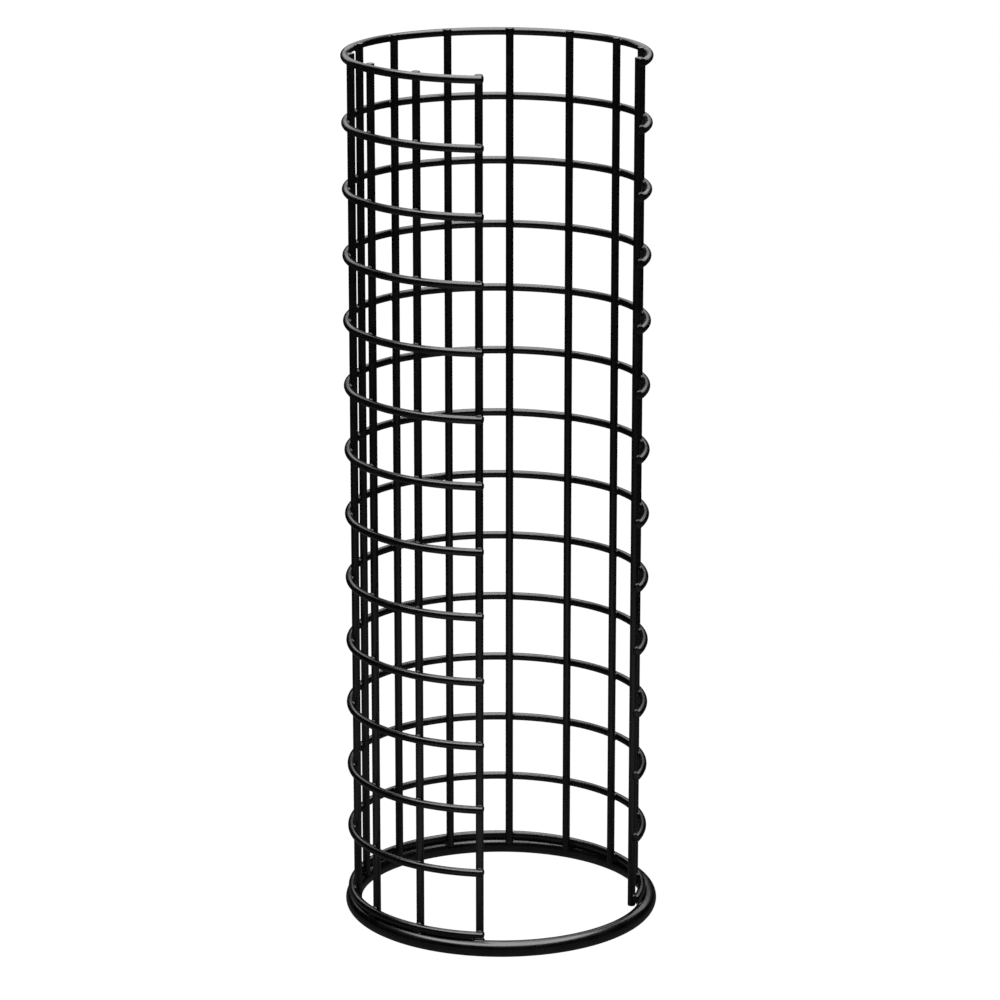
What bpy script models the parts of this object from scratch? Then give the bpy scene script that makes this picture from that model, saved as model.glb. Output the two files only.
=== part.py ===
"""Umbrella stand made of round steel wire.

A cage of square wire mesh, rolled into a cylinder and left open at the front, stands on a
heavier closed ring of round bar. The horizontal wires run round the outside of the cage and
the upright wires stand inside them, each with a notch where a weld has sunk a horizontal wire
into it. Every crossing is a spot weld, and the cage is welded to the ring, so nothing moves.

The origin is the centre of the base ring on the floor, +Z is up and the opening faces -Y.
Angles are measured from +X towards +Y. Lengths are in metres.
"""

import math

import bpy

# Driving dimensions.
MESH_PITCH = 0.040  # between neighbouring wires, both ways
HOOP_COUNT = 14
UPRIGHT_COUNT = 12
WIRE_DIAMETER = 0.0048
HOOP_RADIUS = 0.090  # to the centre line of a hoop wire
RING_BAR_DIAMETER = 0.010
RING_RADIUS = 0.0916  # to the centre line of the base ring's bar
CAGE_OFF_CENTRE = (-0.0020, 0.0015)  # the cage is welded a little off the ring's centre
WELD_SINK = 0.0015  # how far two crossing wires are pressed into each other by their weld
WELD_GAP = 0.0003  # left between two pieces that are welded together
UPRIGHT_TOP = 0.0002  # how far an upright's top end stands above the top hoop
UPRIGHT_FOOT = 0.0050  # how far an upright reaches below the lowest hoop's centre line

# How finely the round pieces are divided.
HOOP_STEPS_PER_CELL = 3
HOOP_BEVEL_RESOLUTION = 2
UPRIGHT_SIDES = 12
HOOP_SEAT_SIDES = 10
RING_SEGMENTS = 72
RING_BAR_SIDES = 14  # of the form 4n + 2, so that the bar has a flat facet to stand on

# Worked out from the dimensions above.
WIRE_RADIUS = WIRE_DIAMETER / 2
RING_BAR_RADIUS = RING_BAR_DIAMETER / 2
RING_FACET_HEIGHT = RING_BAR_RADIUS * math.cos(math.pi / RING_BAR_SIDES)
CELL_ANGLE = MESH_PITCH / HOOP_RADIUS
MESH_ANGLE = CELL_ANGLE * (UPRIGHT_COUNT - 1)
TRIM_ANGLE = WIRE_RADIUS / HOOP_RADIUS
BACK = math.pi / 2
FIRST_UPRIGHT = BACK - MESH_ANGLE / 2
WIRE_SPACING = WIRE_DIAMETER - WELD_SINK
UPRIGHT_RADIUS = HOOP_RADIUS - WIRE_SPACING
LOWEST_HOOP = 2 * RING_FACET_HEIGHT + WELD_GAP + WIRE_RADIUS
HIGHEST_HOOP = LOWEST_HOOP + MESH_PITCH * (HOOP_COUNT - 1)
UPRIGHT_LOW_END = LOWEST_HOOP - UPRIGHT_FOOT
UPRIGHT_HIGH_END = HIGHEST_HOOP + WIRE_RADIUS + UPRIGHT_TOP


def clear_scene():
    """Remove whatever objects the file starts with."""
    for obj in list(bpy.data.objects):
        bpy.data.objects.remove(obj, do_unlink=True)


def new_collection(name):
    """Add a collection to the scene."""
    collection = bpy.data.collections.new(name)
    bpy.context.scene.collection.children.link(collection)
    return collection


def move_to(obj, collection):
    """Take an object out of every collection and put it in this one."""
    for other in list(obj.users_collection):
        other.objects.unlink(obj)
    collection.objects.link(obj)


def coating(name, colour, roughness):
    """Make the painted finish of one kind of piece."""
    material = bpy.data.materials.new(name)
    material.use_nodes = True
    shader = material.node_tree.nodes["Principled BSDF"]
    shader.inputs["Base Color"].default_value = (*colour, 1.0)
    shader.inputs["Roughness"].default_value = roughness
    shader.inputs["Metallic"].default_value = 0.0
    material.diffuse_color = (*colour, 1.0)
    return material


def add_empty(name, location, collection, parent=None):
    """Add an empty that carries other objects."""
    empty = bpy.data.objects.new(name, None)
    empty.location = location
    empty.parent = parent
    collection.objects.link(empty)
    return empty


def torus(name, bar_radius, collection):
    """Make a ring of round bar on the floor, its bar centred at the height of the base ring's."""
    bpy.ops.mesh.primitive_torus_add(
        major_segments=RING_SEGMENTS,
        minor_segments=RING_BAR_SIDES,
        major_radius=RING_RADIUS,
        minor_radius=bar_radius,
        location=(0.0, 0.0, RING_FACET_HEIGHT),
    )
    ring = bpy.context.object
    ring.name = name
    ring.data.name = name
    ring.data.shade_smooth()
    move_to(ring, collection)
    return ring


def hoop_curve(material):
    """Make the open hoop that all the horizontal wires share, centred on the cage's axis."""
    curve = bpy.data.curves.new("hoop_wire", "CURVE")
    curve.dimensions = "3D"
    curve.bevel_depth = WIRE_RADIUS
    curve.bevel_resolution = HOOP_BEVEL_RESOLUTION
    curve.use_fill_caps = True
    steps = HOOP_STEPS_PER_CELL * (UPRIGHT_COUNT - 1)
    angles = [FIRST_UPRIGHT - TRIM_ANGLE]
    angles += [FIRST_UPRIGHT + MESH_ANGLE * i / steps for i in range(steps + 1)]
    angles += [FIRST_UPRIGHT + MESH_ANGLE + TRIM_ANGLE]
    spline = curve.splines.new("POLY")
    spline.points.add(len(angles) - 1)
    for point, angle in zip(spline.points, angles):
        point.co = (HOOP_RADIUS * math.cos(angle), HOOP_RADIUS * math.sin(angle), 0.0, 1.0)
    curve.materials.append(material)
    return curve


def add_hoops(cage, collection):
    """Stack the hoops one mesh pitch apart, numbered from the bottom."""
    curve = hoop_curve(coating("hoop_coating", (0.013, 0.013, 0.014), 0.34))
    for i in range(HOOP_COUNT):
        hoop = bpy.data.objects.new(f"hoop_wire_{i + 1:02d}", curve)
        hoop.location = (0.0, 0.0, LOWEST_HOOP + MESH_PITCH * i)
        hoop.parent = cage
        collection.objects.link(hoop)


def cylinder(name, radius, length, sides, location, rotation):
    """Make a plain length of round wire."""
    bpy.ops.mesh.primitive_cylinder_add(
        vertices=sides, radius=radius, depth=length, location=location, rotation=rotation
    )
    wire = bpy.context.object
    wire.name = name
    return wire


def hoop_seats(collection):
    """Make the wires that cut an upright's notches, one beside each hoop."""
    middle = (UPRIGHT_LOW_END + UPRIGHT_HIGH_END) / 2
    seats = []
    for i in range(HOOP_COUNT):
        height = LOWEST_HOOP + MESH_PITCH * i - middle
        seat = cylinder(
            f"hoop_seat_{i + 1:02d}",
            WIRE_RADIUS + WELD_GAP,
            2 * WIRE_DIAMETER,
            HOOP_SEAT_SIDES,
            (WIRE_SPACING, 0.0, height),
            (math.pi / 2, 0.0, 0.0),
        )
        seats.append(seat)
    bpy.ops.object.select_all(action="DESELECT")
    for seat in seats:
        seat.select_set(True)
    bpy.context.view_layer.objects.active = seats[0]
    bpy.ops.object.join()
    joined = bpy.context.object
    joined.name = "hoop_seat_cutter"
    move_to(joined, collection)
    return joined


def cut(obj, name, cutter):
    """Take a cutter out of an object with a Boolean modifier."""
    notch = obj.modifiers.new(name, "BOOLEAN")
    notch.operation = "DIFFERENCE"
    notch.solver = "EXACT"
    notch.object = cutter


def notched_wire(seats):
    """Make the mesh that all the uprights share, with a notch for each hoop."""
    length = UPRIGHT_HIGH_END - UPRIGHT_LOW_END
    upright = cylinder(
        "upright_wire", WIRE_RADIUS, length, UPRIGHT_SIDES, (0.0, 0.0, 0.0), (0.0, 0.0, 0.0)
    )
    cut(upright, "hoop_seats", seats)
    bpy.ops.object.modifier_apply(modifier="hoop_seats")
    wire = upright.data
    wire.name = "upright_wire"
    wire.shade_smooth()
    wire.set_sharp_from_angle(angle=math.radians(40.0))
    wire.materials.clear()
    wire.materials.append(coating("upright_coating", (0.014, 0.014, 0.015), 0.36))
    bpy.data.objects.remove(upright, do_unlink=True)
    return wire


def add_uprights(cage, wire, seat, collection):
    """Stand the uprights inside the hoops, each foot notched where it meets the ring's bar."""
    for i in range(UPRIGHT_COUNT):
        angle = FIRST_UPRIGHT + CELL_ANGLE * i
        upright = bpy.data.objects.new(f"upright_wire_{i + 1:02d}", wire)
        upright.location = (
            UPRIGHT_RADIUS * math.cos(angle),
            UPRIGHT_RADIUS * math.sin(angle),
            (UPRIGHT_LOW_END + UPRIGHT_HIGH_END) / 2,
        )
        upright.rotation_euler = (0.0, 0.0, angle)
        upright.parent = cage
        collection.objects.link(upright)
        cut(upright, "ring_seat", seat)


def main():
    clear_scene()
    parts = new_collection("umbrella_stand")
    cutters = new_collection("cutters")
    root = add_empty("stand", (0.0, 0.0, 0.0), parts)
    cage = add_empty("cage", (*CAGE_OFF_CENTRE, 0.0), parts, root)

    ring = torus("base_ring", RING_BAR_RADIUS, parts)
    ring.parent = root
    ring.data.materials.append(coating("ring_coating", (0.012, 0.012, 0.013), 0.30))

    seat = torus("ring_seat_cutter", RING_BAR_RADIUS + WELD_GAP, cutters)
    seat.hide_render = True
    seat.display_type = "WIRE"

    add_hoops(cage, parts)
    seats = hoop_seats(cutters)
    seats.hide_render = True
    seats.display_type = "WIRE"
    add_uprights(cage, notched_wire(seats), seat, parts)


main()
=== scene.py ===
"""The looks of a round wire umbrella stand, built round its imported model.

The stand is a C-shaped cage of welded wire on a closed ring of round bar, all under one satin
black powder coat. Each CAD node is replaced by a smooth piece of the same size and in the same
place: wires with sheared and coated ends, a ring with its dressed butt weld, and the weld
fillets that join them. Lengths are in metres, +Z is up and the open front faces -Y.
"""

from __future__ import annotations

import logging
import math
import random
from dataclasses import dataclass, field
from enum import Enum
from typing import Callable, Sequence

import bmesh
import bpy
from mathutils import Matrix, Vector

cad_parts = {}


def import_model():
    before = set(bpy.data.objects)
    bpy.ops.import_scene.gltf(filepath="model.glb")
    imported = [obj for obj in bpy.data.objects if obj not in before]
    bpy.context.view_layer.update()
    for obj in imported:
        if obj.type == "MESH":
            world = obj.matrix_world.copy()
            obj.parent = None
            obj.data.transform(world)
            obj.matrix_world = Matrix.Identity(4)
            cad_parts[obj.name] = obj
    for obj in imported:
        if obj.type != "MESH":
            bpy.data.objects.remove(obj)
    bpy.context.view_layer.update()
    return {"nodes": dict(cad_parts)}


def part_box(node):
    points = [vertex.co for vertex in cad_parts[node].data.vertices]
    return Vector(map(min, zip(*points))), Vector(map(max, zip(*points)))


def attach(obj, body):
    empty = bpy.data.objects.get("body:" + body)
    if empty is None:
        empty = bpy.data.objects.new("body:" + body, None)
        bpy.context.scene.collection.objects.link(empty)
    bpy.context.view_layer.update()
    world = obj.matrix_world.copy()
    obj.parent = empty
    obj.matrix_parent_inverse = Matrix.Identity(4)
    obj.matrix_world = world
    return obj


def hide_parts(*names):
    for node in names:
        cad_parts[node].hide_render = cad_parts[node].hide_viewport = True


log = logging.getLogger("umbrella_stand")

MM = 0.001
BODY = "root"
UP = Vector((0.0, 0.0, 1.0))
WHITE = (1.0, 1.0, 1.0, 1.0)
BELOW_FLOOR = -1.0
SAME_DIRECTION = 1e-6


class Slot(Enum):
    """The record's material slots."""

    RING = "ring_coating"
    HOOP = "hoop_coating"
    UPRIGHT = "upright_coating"


# ---------------------------------------------------------------- finishes


@dataclass(frozen=True)
class PowderCoat:
    """A satin black powder coat: nearly black, with a fine orange peel and uneven gloss.

    Attributes:
        name: Name of the material.
        gloss_roughness: Roughness of its glossiest patches.
        matt_roughness: Roughness of its dullest patches.
        dark: Colour where the coat is thickest.
        light: Colour where the coat is thinnest.
        peel_size: Width of one dimple of the orange peel.
        peel_depth: Height of the orange peel.
        patch_size: Width of a patch of even gloss.
        specular: Strength of the coat's mirror reflection.
        patch_edges: Noise values between which a patch turns from thick coat to thin.
        gloss_edges: Noise values between which it turns from glossy to dull.
        patch_detail: Number of finer layers in the patches' noise.
        peel_detail: Number of finer layers in the orange peel's noise.
        peel_strength: Share of the orange peel's height that shows.
    """

    name: str
    gloss_roughness: float
    matt_roughness: float
    dark: tuple[float, float, float] = (0.0020, 0.0020, 0.0020)
    light: tuple[float, float, float] = (0.0045, 0.0045, 0.0047)
    peel_size: float = 1.1 * MM
    peel_depth: float = 0.0025 * MM
    patch_size: float = 14.0 * MM
    specular: float = 0.80
    patch_edges: tuple[float, float] = (0.35, 0.70)
    gloss_edges: tuple[float, float] = (0.30, 0.70)
    patch_detail: float = 4.0
    peel_detail: float = 2.0
    peel_strength: float = 0.6

    def material(self) -> bpy.types.Material:
        """Build the node material.

        Returns:
            The finished material.
        """
        material = bpy.data.materials.new(self.name)
        material.use_nodes = True
        nodes = material.node_tree.nodes
        links = material.node_tree.links
        shader = nodes["Principled BSDF"]
        shader.inputs["Metallic"].default_value = 0.0
        shader.inputs["Specular IOR Level"].default_value = self.specular
        place = nodes.new("ShaderNodeTexCoord")

        patches = nodes.new("ShaderNodeTexNoise")
        patches.inputs["Scale"].default_value = 1.0 / self.patch_size
        patches.inputs["Detail"].default_value = self.patch_detail
        links.new(place.outputs["Object"], patches.inputs["Vector"])

        colour = nodes.new("ShaderNodeValToRGB")
        thick, thin = colour.color_ramp.elements
        thick.position, thin.position = self.patch_edges
        thick.color = (*self.dark, 1.0)
        thin.color = (*self.light, 1.0)
        links.new(patches.outputs["Fac"], colour.inputs["Fac"])
        links.new(colour.outputs["Color"], shader.inputs["Base Color"])

        gloss = nodes.new("ShaderNodeMapRange")
        gloss.inputs["From Min"].default_value = self.gloss_edges[0]
        gloss.inputs["From Max"].default_value = self.gloss_edges[1]
        gloss.inputs["To Min"].default_value = self.gloss_roughness
        gloss.inputs["To Max"].default_value = self.matt_roughness
        links.new(patches.outputs["Fac"], gloss.inputs["Value"])
        links.new(gloss.outputs["Result"], shader.inputs["Roughness"])

        peel = nodes.new("ShaderNodeTexNoise")
        peel.inputs["Scale"].default_value = 1.0 / self.peel_size
        peel.inputs["Detail"].default_value = self.peel_detail
        links.new(place.outputs["Object"], peel.inputs["Vector"])
        relief = nodes.new("ShaderNodeBump")
        relief.inputs["Strength"].default_value = self.peel_strength
        relief.inputs["Distance"].default_value = self.peel_depth
        links.new(peel.outputs["Fac"], relief.inputs["Height"])
        links.new(relief.outputs["Normal"], shader.inputs["Normal"])
        return material


@dataclass(frozen=True)
class StudioPaper:
    """A plain, matt studio surface, which may be lit from behind.

    Attributes:
        name: Name of the material.
        shade: How much light it throws back.
        glow: How much light comes through it.
        roughness: Its roughness.
    """

    name: str
    shade: float
    glow: float = 0.0
    roughness: float = 0.9

    def material(self) -> bpy.types.Material:
        """Build the node material.

        Returns:
            The finished material.
        """
        material = bpy.data.materials.new(self.name)
        material.use_nodes = True
        shader = material.node_tree.nodes["Principled BSDF"]
        shader.inputs["Base Color"].default_value = (self.shade, self.shade, self.shade, 1.0)
        shader.inputs["Roughness"].default_value = self.roughness
        shader.inputs["Specular IOR Level"].default_value = 0.0
        shader.inputs["Emission Color"].default_value = WHITE
        shader.inputs["Emission Strength"].default_value = self.glow
        return material


# ---------------------------------------------------------------- mesh work


class Skin:
    """Points and faces that are gathered loop by loop and written out as one mesh."""

    def __init__(self) -> None:
        """Start with an empty mesh."""
        self.mesh = bmesh.new()

    def loop(self, points: Sequence[Vector]) -> list[bmesh.types.BMVert]:
        """Add one loop of points.

        Args:
            points: The loop's points, in order.

        Returns:
            The new vertices, in the same order.
        """
        return [self.mesh.verts.new(point) for point in points]

    def band(self, a: list[bmesh.types.BMVert], b: list[bmesh.types.BMVert]) -> None:
        """Join two closed loops of the same length with a band of quads.

        Args:
            a: The first loop.
            b: The second loop.
        """
        count = len(a)
        for i in range(count):
            j = (i + 1) % count
            self.mesh.faces.new((a[i], a[j], b[j], b[i]))

    def cap(self, rim: list[bmesh.types.BMVert]) -> None:
        """Close a loop with a fan of triangles that meet in its middle.

        Args:
            rim: The loop to close.
        """
        count = len(rim)
        middle = self.mesh.verts.new(sum((corner.co for corner in rim), Vector()) / count)
        for i in range(count):
            self.mesh.faces.new((rim[i], rim[(i + 1) % count], middle))

    def tube(self, loops: Sequence[Sequence[Vector]]) -> list[list[bmesh.types.BMVert]]:
        """Skin a row of loops, and leave both ends open.

        Args:
            loops: The loops' points, from one end of the tube to the other.

        Returns:
            The vertices, loop by loop.
        """
        rows = [self.loop(points) for points in loops]
        for a, b in zip(rows, rows[1:]):
            self.band(a, b)
        return rows

    def rod(self, loops: Sequence[Sequence[Vector]]) -> None:
        """Skin a row of loops and cap both ends.

        Args:
            loops: The loops' points, from one end of the rod to the other.
        """
        rows = self.tube(loops)
        self.cap(rows[0])
        self.cap(rows[-1])

    def ring(self, loops: Sequence[Sequence[Vector]]) -> None:
        """Skin a row of loops and join the last to the first.

        Args:
            loops: The loops' points, once round the ring.
        """
        rows = self.tube(loops)
        self.band(rows[-1], rows[0])

    def piece(self, name: str, material: bpy.types.Material) -> bpy.types.Object:
        """Write the mesh out as a smooth object with its faces turned outwards.

        Args:
            name: The object's name.
            material: The object's finish.

        Returns:
            The new object, in the scene.
        """
        bmesh.ops.recalc_face_normals(self.mesh, faces=self.mesh.faces)
        data = bpy.data.meshes.new(name)
        self.mesh.to_mesh(data)
        self.mesh.free()
        data.shade_smooth()
        data.materials.append(material)
        obj = bpy.data.objects.new(name, data)
        bpy.context.scene.collection.objects.link(obj)
        return obj


def heading(angle: float) -> Vector:
    """Give the level unit vector at an angle from +X."""
    return Vector((math.cos(angle), math.sin(angle), 0.0))


def circle_centre(a: Vector, b: Vector, c: Vector) -> Vector:
    """Find the centre of the circle through three points of one height.

    Args:
        a: The first point.
        b: The second point.
        c: The third point.

    Returns:
        The centre, at the height of the first point.
    """
    d = 2 * (a.x * (b.y - c.y) + b.x * (c.y - a.y) + c.x * (a.y - b.y))
    aa, bb, cc = (p.x * p.x + p.y * p.y for p in (a, b, c))
    x = (aa * (b.y - c.y) + bb * (c.y - a.y) + cc * (a.y - b.y)) / d
    y = (aa * (c.x - b.x) + bb * (a.x - c.x) + cc * (b.x - a.x)) / d
    return Vector((x, y, a.z))


def part_way(a: Vector, b: Vector, t: float) -> Vector:
    """Turn one unit vector part of the way towards another.

    Args:
        a: The unit vector at t = 0.
        b: The unit vector at t = 1.
        t: How far to turn, from 0 to 1.

    Returns:
        The unit vector between them.
    """
    angle = a.angle(b)
    if angle < SAME_DIRECTION:
        return a.copy()
    return (a * math.sin((1 - t) * angle) + b * math.sin(t * angle)) / math.sin(angle)


# ---------------------------------------------------------------- the wires


@dataclass
class WireEnd:
    """The sheared end of a coated wire: a rounded edge round a faintly domed face.

    Attributes:
        edge: Radius of the coated edge.
        crown: How far the face's middle stands out.
        inner_share: Share of the flat face's radius at which the face's own loop lies.
        steps: Number of loops round the edge.
    """

    edge: float = 0.45 * MM
    crown: float = 0.10 * MM
    inner_share: float = 0.6
    steps: int = 5

    def profile(self, radius: float) -> list[tuple[float, float]]:
        """List the end's loops, from the face towards the wire.

        Args:
            radius: The wire's radius.

        Returns:
            Pairs of the distance from the end and the radius there.
        """
        inner = self.inner_share
        rows = [(self.crown * (1 - inner), (radius - self.edge) * inner)]
        for i in range(self.steps + 1):
            turn = i / self.steps * math.pi / 2
            rows.append(
                (
                    self.crown + self.edge * (1 - math.cos(turn)),
                    radius - self.edge + self.edge * math.sin(turn),
                )
            )
        return rows


@dataclass
class Wire:
    """A round wire that follows a path.

    Attributes:
        radius: The wire's radius, over the coat.
        sides: Number of points round the wire.
        end: The shape of both its ends.
    """

    radius: float
    sides: int = 24
    end: WireEnd = field(default_factory=WireEnd)

    def section(self, centre: Vector, across: Vector, radius: float) -> list[Vector]:
        """Lay the points of one round section, standing square to the wire.

        Args:
            centre: The section's centre.
            across: A level unit vector square to the wire.
            radius: The section's radius.

        Returns:
            The section's points.
        """
        other = self.other_side(across)
        points = []
        for i in range(self.sides):
            turn = 2 * math.pi * i / self.sides
            points.append(centre + radius * (math.cos(turn) * across + math.sin(turn) * other))
        return points

    def other_side(self, across: Vector) -> Vector:
        """Give the section's second direction, which stands up on a level wire."""
        return UP


@dataclass
class HoopWire(Wire):
    """A level wire bent round the cage's axis, with both ends sheared off.

    Attributes:
        bend_radius: Radius of its centre line.
        waver: How far the centre line wanders from a true circle.
        waves: Numbers of waves round the circle that it wanders in.
        steps_per_cell: Number of sections between two uprights.
    """

    bend_radius: float = 90.0 * MM
    waver: float = 0.10 * MM
    waves: tuple[int, ...] = (2, 3, 5)
    steps_per_cell: int = 12

    def stations(self, start: float, finish: float, cells: int) -> list[tuple[float, float]]:
        """List the wire's sections from one end to the other.

        Args:
            start: Angle of the first end.
            finish: Angle of the second end.
            cells: Number of mesh cells that the wire spans.

        Returns:
            Pairs of a section's angle and its radius.
        """
        tip = [(length / self.bend_radius, radius) for length, radius in self.end.profile(self.radius)]
        first = [(start + angle, radius) for angle, radius in tip]
        last = [(finish - angle, radius) for angle, radius in reversed(tip)]
        count = cells * self.steps_per_cell
        inner = finish - start - 2 * tip[-1][0]
        between = [
            (start + tip[-1][0] + inner * i / count, self.radius) for i in range(1, count)
        ]
        return first + between + last

    def build(
        self,
        skin: Skin,
        centre: Vector,
        start: float,
        finish: float,
        cells: int,
        rng: random.Random,
    ) -> None:
        """Sweep the wire round its arc.

        Args:
            skin: The mesh to add it to.
            centre: The centre of the hoop.
            start: Angle of the first end, from +X.
            finish: Angle of the second end.
            cells: Number of mesh cells that the wire spans.
            rng: Source of the wire's small deviations.
        """
        full = 2 * math.pi
        waves = [(k, rng.uniform(0, full), rng.uniform(0, full)) for k in self.waves]
        loops = []
        for angle, radius in self.stations(start, finish, cells):
            out = heading(angle)
            drift = sum(math.sin(k * angle + a) / k for k, a, _ in waves) * self.waver
            lift = sum(math.sin(k * angle + b) / k for k, _, b in waves) * self.waver
            middle = centre + out * (self.bend_radius + drift) + UP * lift
            loops.append(self.section(middle, out, radius))
        skin.rod(loops)


@dataclass
class UprightWire(Wire):
    """A straight upright wire, its foot shaped to the ring's bar where it stands on it.

    Attributes:
        foot_length: Length of the foot, which is shaped without a section in between.
        steps: Number of sections along the straight.
    """

    foot_length: float = 4.0 * MM
    steps: int = 26

    def other_side(self, across: Vector) -> Vector:
        """Give the section's second direction, level and square to the first."""
        return UP.cross(across)

    def build(
        self,
        skin: Skin,
        foot: Vector,
        top: float,
        across: Vector,
        floor_under: Callable[[Vector], float],
    ) -> None:
        """Stand the wire on its foot.

        Args:
            skin: The mesh to add it to.
            foot: The lowest point of its centre line.
            top: Height of its top end.
            across: Level unit vector that points away from the cage's axis.
            floor_under: Gives the height of the ring's bar under a point, or a low value.
        """
        tip = self.end.profile(self.radius)
        loops = []
        for length, radius in tip:
            loops.append(self.foot_section(foot + UP * length, across, radius, floor_under))
        low = foot.z + tip[-1][0] + self.foot_length
        high = top - tip[-1][0]
        for i in range(self.steps + 1):
            height = low + (high - low) * i / self.steps
            loops.append(self.section(Vector((foot.x, foot.y, height)), across, self.radius))
        for length, radius in reversed(tip[:-1]):
            loops.append(self.section(Vector((foot.x, foot.y, top - length)), across, radius))
        skin.rod(loops)

    def foot_section(
        self,
        centre: Vector,
        across: Vector,
        radius: float,
        floor_under: Callable[[Vector], float],
    ) -> list[Vector]:
        """Lay a section of the foot, lifted wherever the ring's bar is in its way.

        Args:
            centre: The section's centre.
            across: Level unit vector that points away from the cage's axis.
            radius: The section's radius.
            floor_under: Gives the height of the ring's bar under a point, or a low value.

        Returns:
            The section's points.
        """
        points = self.section(centre, across, radius)
        for point in points:
            point.z = max(point.z, floor_under(point))
        return points


@dataclass
class CrossingWeld:
    """The fillet round the spot weld where a hoop crosses an upright.

    Attributes:
        wire_radius: Radius of both wires.
        fillet: Radius of the fillet between them.
        uneven: Share by which the fillet's radius wanders round the weld.
        spread: Share by which one weld's fillet differs from another's.
        lobes: Number of lobes in which it wanders.
        core: Share of a slice's reach at which the weld's hidden middle is closed.
        around: Number of slices round the weld.
        steps: Number of points across the fillet.
    """

    wire_radius: float
    fillet: float = 0.60 * MM
    uneven: float = 0.12
    spread: float = 0.15
    lobes: int = 3
    core: float = 0.25
    around: int = 28
    steps: int = 5

    def build(
        self,
        skin: Skin,
        on_hoop: Vector,
        out: Vector,
        spacing: float,
        ceiling: float,
        rng: random.Random,
    ) -> None:
        """Add one weld.

        Args:
            skin: The mesh to add it to.
            on_hoop: The hoop's centre line where it crosses the upright.
            out: Level unit vector that points away from the cage's axis.
            spacing: Distance between the two wires' centre lines.
            ceiling: Height that the weld can't pass, near the upright's top end.
            rng: Source of the weld's unevenness.
        """
        along = UP.cross(out)
        size = self.fillet * rng.uniform(1 - self.spread, 1 + self.spread)
        shift = rng.uniform(0, 2 * math.pi)
        loops = []
        for i in range(self.around):
            turn = 2 * math.pi * i / self.around
            radius = size * (1 + self.uneven * math.sin(self.lobes * turn + shift))
            loops.append(self.slice(turn, radius, spacing))
        placed = [
            [on_hoop + along * p.x + out * p.y + UP * p.z for p in points] for points in loops
        ]
        for point in (point for points in placed for point in points):
            point.z = min(point.z, ceiling)
        skin.ring(placed)

    def slice(self, turn: float, radius: float, spacing: float) -> list[Vector]:
        """Work out one slice of the fillet: an arc that touches both wires.

        The hoop runs along x through the origin, and the upright along z at y = -spacing.

        Args:
            turn: Angle round the weld, 0 beside the upright and a quarter turn above the hoop.
            radius: The fillet's radius in this slice.
            spacing: Distance between the two wires' centre lines.

        Returns:
            The slice's points, closed through the middle of the weld.
        """
        reach = self.wire_radius + radius
        swing = reach - spacing / 2
        y = -spacing / 2 - swing * math.cos(2 * turn)
        x = math.copysign(math.sqrt(max(reach**2 - (y + spacing) ** 2, 0.0)), math.cos(turn))
        z = math.copysign(math.sqrt(max(reach**2 - y**2, 0.0)), math.sin(turn))
        ball = Vector((x, y, z))
        from_hoop = Vector((0.0, y, z)).normalized()
        from_upright = Vector((x, y + spacing, 0.0)).normalized()
        points = [
            ball - radius * part_way(from_hoop, from_upright, i / self.steps)
            for i in range(self.steps + 1)
        ]
        points.append(Vector((x * self.core, -spacing / 2, z * self.core)))
        return points


@dataclass
class TackWeld:
    """A short fillet that fills the groove between the lowest hoop and the ring's bar.

    Attributes:
        wire_radius: Radius of the hoop's wire.
        bar_radius: Radius of the ring's bar.
        length: Length of the tack along the groove.
        fillet: Radius of the fillet in the tack's middle.
        end_share: Share of that radius which is left at the tack's ends.
        slices: Number of slices along the tack.
        steps: Number of points across the fillet.
    """

    wire_radius: float
    bar_radius: float
    length: float = 7.0 * MM
    fillet: float = 1.3 * MM
    end_share: float = 0.12
    slices: int = 15
    steps: int = 5

    def build(
        self, skin: Skin, groove: Callable[[float], tuple[Vector, Vector]], side: int, spread: float
    ) -> None:
        """Add one tack.

        Args:
            skin: The mesh to add it to.
            groove: Gives the hoop's and the bar's centres at an angle off the tack's middle.
            side: 1 for the outside of the groove, -1 for the inside.
            spread: Half the tack's length, as an angle round the hoop.
        """
        loops = []
        for i in range(self.slices):
            share = 2 * i / (self.slices - 1) - 1
            hoop, bar = groove(share * spread)
            swell = math.sqrt(max(1 - share * share, 0.0))
            radius = self.fillet * (self.end_share + (1 - self.end_share) * swell)
            loops.append(self.slice(hoop, bar, radius, side))
        skin.rod(loops)

    def slice(self, hoop: Vector, bar: Vector, radius: float, side: int) -> list[Vector]:
        """Work out one slice: an arc that touches the wire and the bar.

        Args:
            hoop: The hoop's centre in this slice.
            bar: The bar's centre in this slice.
            radius: The fillet's radius.
            side: 1 for the outside of the groove, -1 for the inside.

        Returns:
            The slice's points, closed through the groove.
        """
        out = Vector((bar.x, bar.y, 0.0)).normalized()
        apart = hoop - bar
        distance = apart.length
        to_bar = self.bar_radius + radius
        to_hoop = self.wire_radius + radius
        axis = apart / distance
        square = (out - axis * out.dot(axis)).normalized() * side
        along = (to_bar**2 - to_hoop**2 + distance**2) / (2 * distance)
        beside = math.sqrt(max(to_bar**2 - along**2, 0.0))
        ball = bar + axis * along + square * beside
        from_bar = (ball - bar).normalized()
        from_hoop = (ball - hoop).normalized()
        points = [
            ball - radius * part_way(from_bar, from_hoop, i / self.steps)
            for i in range(self.steps + 1)
        ]
        points.append(bar + axis * (self.bar_radius + distance - self.wire_radius) / 2)
        return points


# ---------------------------------------------------------------- the assemblies


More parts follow.
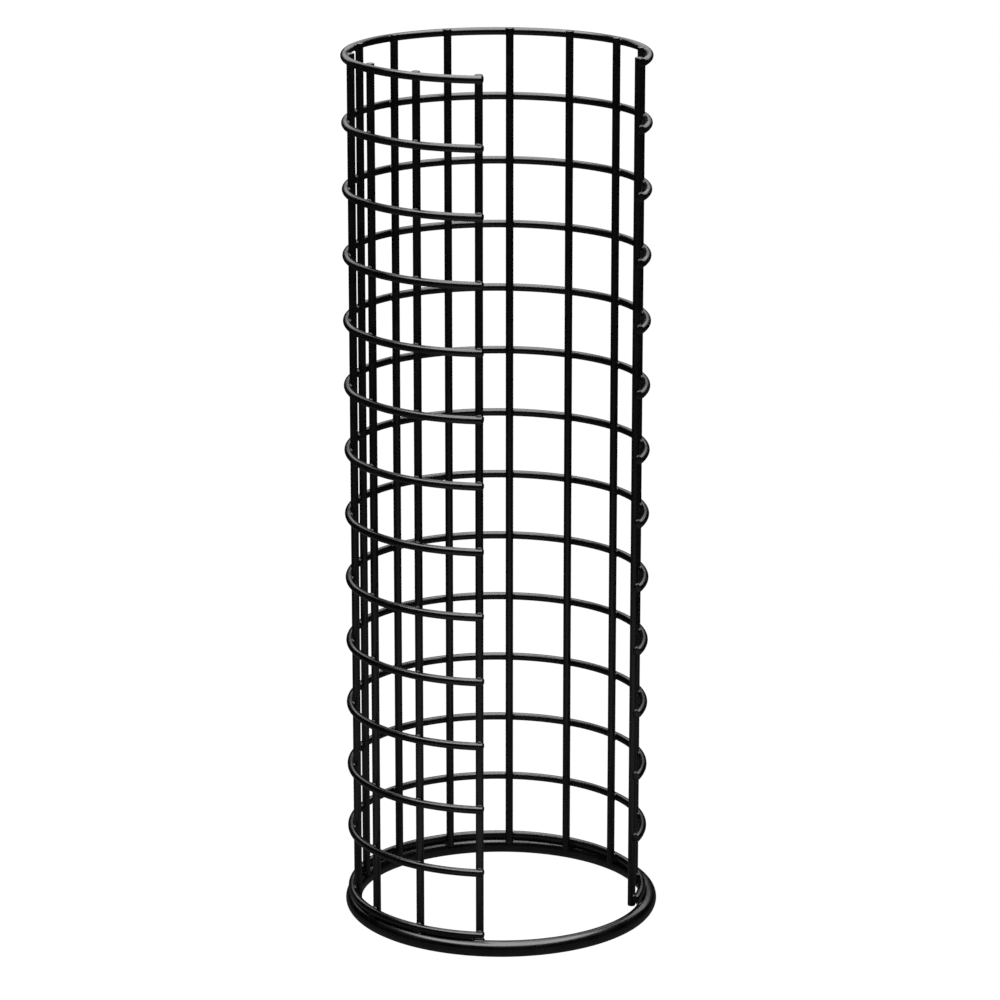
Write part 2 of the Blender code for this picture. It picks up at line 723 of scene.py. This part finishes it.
@dataclass(frozen=True)
class Plan:
    """Where everything stands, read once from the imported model.

    Attributes:
        axis: Foot of the cage's axis.
        hoop_radius: Radius of the hoops' centre line.
        hoop_heights: Heights of the hoops' centre lines, from the bottom.
        upright_circle: Radius of the circle that the uprights stand on.
        upright_angles: The uprights' angles round the cage's axis, rising.
        upright_foot: Height of the uprights' feet.
        upright_top: Height of the uprights' top ends.
        ring_radius: Radius of the ring's centre line.
        wire_radius: Radius of the hoops and the uprights, over the coat.
        bar_radius: Radius of the ring's bar, over the coat.
    """

    axis: Vector
    hoop_radius: float
    hoop_heights: list[float]
    upright_circle: float
    upright_angles: list[float]
    upright_foot: float
    upright_top: float
    ring_radius: float
    wire_radius: float = 2.4 * MM
    bar_radius: float = 5.0 * MM

    @classmethod
    def from_model(cls, hoops: Sequence[str], uprights: Sequence[str], ring: str) -> Plan:
        """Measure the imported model.

        Args:
            hoops: The hoops' CAD nodes, from the bottom.
            uprights: The uprights' CAD nodes, round the cage.
            ring: The ring's CAD node.

        Returns:
            The plan.
        """
        boxes = [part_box(node) for node in uprights]
        feet = [(low + high) / 2 for low, high in boxes]
        middle = circle_centre(feet[0], feet[len(feet) // 2], feet[-1])
        axis = Vector((middle.x, middle.y, 0.0))
        raw = [math.atan2(foot.y - axis.y, foot.x - axis.x) for foot in feet]
        low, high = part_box(hoops[0])
        return cls(
            axis=axis,
            hoop_radius=(high.x - low.x) / 2 - cls.wire_radius,
            hoop_heights=[sum(corner.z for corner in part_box(node)) / 2 for node in hoops],
            upright_circle=math.hypot(feet[0].x - axis.x, feet[0].y - axis.y),
            upright_angles=[raw[0] + (angle - raw[0]) % (2 * math.pi) for angle in raw],
            upright_foot=min(low.z for low, _ in boxes),
            upright_top=boxes[0][1].z,
            ring_radius=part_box(ring)[1].x - cls.bar_radius,
        )

    def on_circle(self, radius: float, angle: float, height: float) -> Vector:
        """Give a point at a radius and angle round the cage's axis, at a height."""
        return self.axis + Vector((radius * math.cos(angle), radius * math.sin(angle), height))

    def bar_under(self, point: Vector) -> float:
        """Give the height of the bar's upper side under a point.

        Args:
            point: The point.

        Returns:
            The height, or one below the floor where the point isn't over the bar.
        """
        off = math.hypot(point.x, point.y) - self.ring_radius
        if abs(off) >= self.bar_radius:
            return BELOW_FLOOR
        return self.bar_radius + math.sqrt(self.bar_radius**2 - off**2)


@dataclass
class Assembly:
    """What the three assemblies share: how a finished piece is handed to the frame.

    Attributes:
        plan: Where everything stands.
    """

    plan: Plan

    def hand_over(self, piece: bpy.types.Object, slot: Slot, *nodes: str) -> None:
        """Give a piece its body, and hide the CAD nodes it stands for.

        Args:
            piece: The finished piece.
            slot: The piece's material slot; not used.
            *nodes: The CAD nodes that it replaces.
        """
        if nodes:
            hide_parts(*nodes)
        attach(piece, BODY)
        log.info("%s: %d faces", piece.name, len(piece.data.polygons))


@dataclass
class BaseRing(Assembly):
    """The closed ring of round bar that the cage stands on.

    The bar is bent round and its ends are butt welded and dressed, which leaves a faint swell.

    Attributes:
        sides: Number of points round the bar.
        segments: Number of sections round the ring.
        seam_angle: Where the butt weld lies, from +X.
        seam_half_width: Half the width of its swell.
        seam_swell: Height of its swell.
    """

    sides: int = 40
    segments: int = 288
    seam_angle: float = math.radians(128.0)
    seam_half_width: float = 2.2 * MM
    seam_swell: float = 0.12 * MM

    def swell(self, angle: float) -> float:
        """Give how far the dressed weld stands out of the bar at an angle round the ring."""
        off = (angle - self.seam_angle) * self.plan.ring_radius / self.seam_half_width
        return self.seam_swell * math.exp(-off * off)

    def build(self, material: bpy.types.Material) -> None:
        """Bend and close the ring.

        Args:
            material: The ring's finish.
        """
        skin = Skin()
        bar = self.plan.bar_radius
        loops = []
        for i in range(self.segments):
            angle = 2 * math.pi * i / self.segments
            out = heading(angle)
            swell = self.swell(angle)
            loop = []
            for j in range(self.sides):
                turn = 2 * math.pi * j / self.sides
                lift = max(math.sin(turn), -1 + swell / bar)
                radius = bar + swell * (1 + math.sin(turn)) / 2
                across = self.plan.ring_radius + radius * math.cos(turn)
                loop.append(out * across + UP * (bar + radius * lift))
            loops.append(loop)
        skin.ring(loops)
        self.hand_over(skin.piece("ring_bar", material), Slot.RING, "base_ring")


@dataclass
class Cage(Assembly):
    """The welded wire mesh: hoops outside, uprights inside and a weld at each crossing.

    Attributes:
        hoop_nodes: The hoops' CAD nodes, from the bottom.
        upright_nodes: The uprights' CAD nodes, round the cage.
        bend_seed: Seed of the hoops' small deviations.
        weld_seed: Seed of the welds' unevenness.
    """

    hoop_nodes: Sequence[str]
    upright_nodes: Sequence[str]
    bend_seed: int = 41
    weld_seed: int = 42

    @property
    def trim(self) -> float:
        """Angle by which a hoop's end passes the middle of the end upright."""
        return self.plan.wire_radius / self.plan.hoop_radius

    def build(self, hoop_coat: bpy.types.Material, upright_coat: bpy.types.Material) -> None:
        """Make every wire and weld of the cage.

        Args:
            hoop_coat: Finish of the hoops and the welds on them.
            upright_coat: Finish of the uprights.
        """
        self.build_hoops(hoop_coat)
        self.build_uprights(upright_coat)
        self.build_welds(hoop_coat)

    def build_hoops(self, material: bpy.types.Material) -> None:
        """Bend the hoops.

        Args:
            material: The hoops' finish.
        """
        plan = self.plan
        rng = random.Random(self.bend_seed)
        cells = len(plan.upright_angles) - 1
        start = plan.upright_angles[0] - self.trim
        finish = plan.upright_angles[-1] + self.trim
        wire = HoopWire(plan.wire_radius, bend_radius=plan.hoop_radius)
        for node, height in zip(self.hoop_nodes, plan.hoop_heights):
            skin = Skin()
            wire.build(skin, plan.axis + UP * height, start, finish, cells, rng)
            name = node.replace("hoop_wire", "hoop")
            self.hand_over(skin.piece(name, material), Slot.HOOP, node)

    def build_uprights(self, material: bpy.types.Material) -> None:
        """Stand the uprights.

        Args:
            material: The uprights' finish.
        """
        plan = self.plan
        wire = UprightWire(plan.wire_radius)
        for node, angle in zip(self.upright_nodes, plan.upright_angles):
            skin = Skin()
            out = heading(angle)
            foot = plan.on_circle(plan.upright_circle, angle, plan.upright_foot)
            wire.build(skin, foot, plan.upright_top, out, plan.bar_under)
            name = node.replace("upright_wire", "upright")
            self.hand_over(skin.piece(name, material), Slot.UPRIGHT, node)

    def build_welds(self, material: bpy.types.Material) -> None:
        """Weld the uprights to each hoop, one piece for each hoop's row of welds.

        Args:
            material: The welds' finish.
        """
        plan = self.plan
        rng = random.Random(self.weld_seed)
        weld = CrossingWeld(plan.wire_radius)
        spacing = plan.hoop_radius - plan.upright_circle
        ceiling = plan.upright_top - WireEnd().edge
        for i, height in enumerate(plan.hoop_heights):
            skin = Skin()
            for angle in plan.upright_angles:
                out = heading(angle)
                on_hoop = plan.on_circle(plan.hoop_radius, angle, height)
                weld.build(skin, on_hoop, out, spacing, ceiling, rng)
            self.hand_over(skin.piece(f"crossing_welds_{i + 1:02d}", material), Slot.HOOP)


@dataclass
class RingWelds(Assembly):
    """The tacks that hold the lowest hoop on the ring's bar."""

    def build(self, material: bpy.types.Material) -> None:
        """Tack the hoop to the ring beside every upright, outside and inside.

        Args:
            material: The tacks' finish.
        """
        plan = self.plan
        tack = TackWeld(plan.wire_radius, plan.bar_radius)
        spread = tack.length / 2 / plan.hoop_radius
        skin = Skin()
        for middle in plan.upright_angles:

            def groove(off: float, middle: float = middle) -> tuple[Vector, Vector]:
                """Find the hoop's and the bar's centres at an angle off the tack's middle.

                Args:
                    off: The angle off the middle.
                    middle: Angle of the tack's middle.

                Returns:
                    The two centres.
                """
                hoop = plan.on_circle(plan.hoop_radius, middle + off, plan.hoop_heights[0])
                flat = Vector((hoop.x, hoop.y, 0.0)).normalized()
                return hoop, flat * plan.ring_radius + UP * plan.bar_radius

            for side in (-1, 1):
                tack.build(skin, groove, side, spread)
        self.hand_over(skin.piece("ring_tacks", material), Slot.RING)


# ---------------------------------------------------------------- the studio


@dataclass(frozen=True)
class StudioCard:
    """A flat sector of matt card on the floor, which is all of it that the gloss mirrors.

    Attributes:
        name: The card's name.
        inner: Its inner radius.
        outer: Its outer radius.
        glow: How much light comes from it.
        height: Its height over the floor.
        half_angle: Half the angle that it spans, evenly to both sides of the camera.
        steps: Number of faces that it is made of.
    """

    name: str
    inner: float
    outer: float
    glow: float
    height: float = 0.3 * MM
    half_angle: float = math.radians(50.0)
    steps: int = 48


FLOOR_CARDS = (
    StudioCard("dark_card", inner=0.60, outer=28.0, glow=0.0, height=0.2 * MM, half_angle=math.pi),
    StudioCard("dim_card", inner=0.0, outer=0.60, glow=0.05, height=0.2 * MM, half_angle=math.pi),
    StudioCard("near_card", inner=0.18, outer=0.75, glow=0.16),
    StudioCard("middle_card", inner=0.75, outer=1.10, glow=0.07),
    StudioCard("far_card", inner=1.10, outer=3.00, glow=0.02),
)


@dataclass
class Studio:
    """The pale floor, the soft lights and the camera.

    Attributes:
        azimuth: Direction of the camera round the stand, 0 in front and rising to the right.
        distance: Level distance from the stand's axis to the camera.
        height: Height of the camera.
        aim_height: Height of the point on the axis that the camera looks at.
        aim_side: How far to the side of the axis the camera looks.
        lens: Focal length in millimetres.
        sensor: Width of the camera's sensor in millimetres.
        sight: How far the camera sees.
        floor_size: Side of the floor.
        floor_shade: How much light the floor throws back.
        floor_glow: How much light comes through the floor from below.
        air_strength: Brightness of the white beyond the floor.
        softbox_width: Width of the round softbox overhead.
        softbox_height: Its height over the floor.
        softbox_radiance: Its brightness.
        screen_distance: How far behind the stand the bright screen hangs.
        screen_foot: Height of the screen's lower edge.
        screen_height: Height of its upper edge.
        screen_half_angle: Half the angle that the screen spans round the stand.
        screen_radiance: Its brightness.
        screen_steps: Number of faces that it is made of.
        cards: The dark cards on the floor.
    """

    azimuth: float = math.radians(-33.1)
    distance: float = 2.440
    height: float = 0.928
    aim_height: float = 0.260
    aim_side: float = -0.0007
    lens: float = 150.0
    sensor: float = 36.0
    sight: float = 200.0
    floor_size: float = 60.0
    floor_shade: float = 0.90
    floor_glow: float = 1.02
    air_strength: float = 1.02
    softbox_width: float = 3.2
    softbox_height: float = 2.2
    softbox_radiance: float = 5.0
    screen_distance: float = 2.0
    screen_foot: float = 0.85
    screen_height: float = 2.2
    screen_half_angle: float = math.radians(38.0)
    screen_radiance: float = 1.2
    screen_steps: int = 24
    cards: Sequence[StudioCard] = FLOOR_CARDS

    @staticmethod
    def toward(angle: float) -> Vector:
        """Give the level unit vector at an angle round the stand, 0 in front."""
        return Vector((math.sin(angle), -math.cos(angle), 0.0))

    def build(self) -> None:
        """Set up the whole studio."""
        self.place_camera()
        self.lay_floor()
        self.light_air()
        self.hang_softbox()
        self.hang_screen()
        for card in self.cards:
            self.lay_card(card)

    def place_camera(self) -> None:
        """Put the camera in place and make it the scene's."""
        data = bpy.data.cameras.new("camera")
        data.lens = self.lens
        data.sensor_width = self.sensor
        data.clip_end = self.sight
        camera = bpy.data.objects.new("camera", data)
        bpy.context.scene.collection.objects.link(camera)
        toward_camera = self.toward(self.azimuth)
        camera.location = toward_camera * self.distance + UP * self.height
        side = toward_camera.cross(UP)
        aim = UP * self.aim_height - side * self.aim_side
        camera.rotation_euler = (aim - camera.location).to_track_quat("-Z", "Y").to_euler()
        bpy.context.scene.camera = camera

    def lay_floor(self) -> None:
        """Lay the pale floor under the stand."""
        bpy.ops.mesh.primitive_plane_add(size=self.floor_size)
        floor = bpy.context.object
        floor.name = "studio_floor"
        paper = StudioPaper("pale_floor", self.floor_shade, self.floor_glow)
        floor.data.materials.append(paper.material())

    def light_air(self) -> None:
        """Fill the view beyond the floor with the floor's own white."""
        world = bpy.data.worlds.new("studio_air")
        world.use_nodes = True
        background = world.node_tree.nodes["Background"]
        background.inputs["Color"].default_value = WHITE
        background.inputs["Strength"].default_value = self.air_strength
        world.cycles_visibility.glossy = False
        world.cycles_visibility.diffuse = False
        bpy.context.scene.world = world

    def hang_softbox(self) -> None:
        """Hang the round softbox that puts the soft highlight along every upper side."""
        data = bpy.data.lights.new("overhead_softbox", "AREA")
        data.shape = "DISK"
        data.size = self.softbox_width
        area = math.pi * (self.softbox_width / 2) ** 2
        data.energy = self.softbox_radiance * math.pi * area
        lamp = bpy.data.objects.new("overhead_softbox", data)
        lamp.location = UP * self.softbox_height
        lamp.visible_camera = False
        lamp.visible_diffuse = False
        bpy.context.scene.collection.objects.link(lamp)

    def lay_card(self, card: StudioCard) -> None:
        """Lay a dark card flat round the stand, which only the stand's reflections show.

        Args:
            card: The card's sizes and glow.
        """
        skin = bmesh.new()
        rows = []
        for i in range(card.steps + 1):
            out = self.toward(self.azimuth + card.half_angle * (2 * i / card.steps - 1))
            lift = UP * card.height
            near, far = out * card.inner + lift, out * card.outer + lift
            rows.append((skin.verts.new(near), skin.verts.new(far)))
        for a, b in zip(rows, rows[1:]):
            skin.faces.new((a[0], a[1], b[1], b[0]))
        self.seen_in_gloss_only(card.name, skin, card.glow)

    def hang_screen(self) -> None:
        """Hang a bright curved screen behind the stand, as the camera sees it."""
        skin = bmesh.new()
        rows = []
        for i in range(self.screen_steps + 1):
            turn = self.screen_half_angle * (2 * i / self.screen_steps - 1)
            spot = self.toward(self.azimuth + math.pi + turn) * self.screen_distance
            low, high = spot + UP * self.screen_foot, spot + UP * self.screen_height
            rows.append((skin.verts.new(low), skin.verts.new(high)))
        for a, b in zip(rows, rows[1:]):
            skin.faces.new((a[0], b[0], b[1], a[1]))
        self.seen_in_gloss_only("bright_screen", skin, self.screen_radiance)

    def seen_in_gloss_only(self, name: str, skin: bmesh.types.BMesh, glow: float) -> None:
        """Place a sheet of glowing black paper that only the stand's gloss shows.

        Args:
            name: The sheet's name.
            skin: Its mesh, which is used up.
            glow: How much light comes from it.
        """
        data = bpy.data.meshes.new(name)
        skin.to_mesh(data)
        skin.free()
        data.materials.append(StudioPaper(name, 0.0, glow).material())
        surface = bpy.data.objects.new(name, data)
        bpy.context.scene.collection.objects.link(surface)
        surface.visible_camera = False
        surface.visible_diffuse = False
        surface.visible_shadow = False
        surface.visible_transmission = False


def main() -> None:
    """Build the stand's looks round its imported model."""
    logging.basicConfig(level=logging.INFO, format="%(message)s")
    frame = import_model()
    bpy.context.scene.view_settings.view_transform = "Standard"

    ring_coat = PowderCoat("ring_coat", gloss_roughness=0.18, matt_roughness=0.27)
    hoop_coat = PowderCoat("hoop_coat", gloss_roughness=0.17, matt_roughness=0.26)
    upright_coat = PowderCoat("upright_coat", gloss_roughness=0.16, matt_roughness=0.24)

    Studio().build()
    hoops = sorted(name for name in frame["nodes"] if name.startswith("hoop_wire"))
    uprights = sorted(name for name in frame["nodes"] if name.startswith("upright_wire"))
    plan = Plan.from_model(hoops, uprights, "base_ring")
    BaseRing(plan).build(ring_coat.material())
    hoop_material = hoop_coat.material()
    Cage(plan, hoops, uprights).build(hoop_material, upright_coat.material())
    RingWelds(plan).build(hoop_material)


if __name__ == "__main__":
    main()
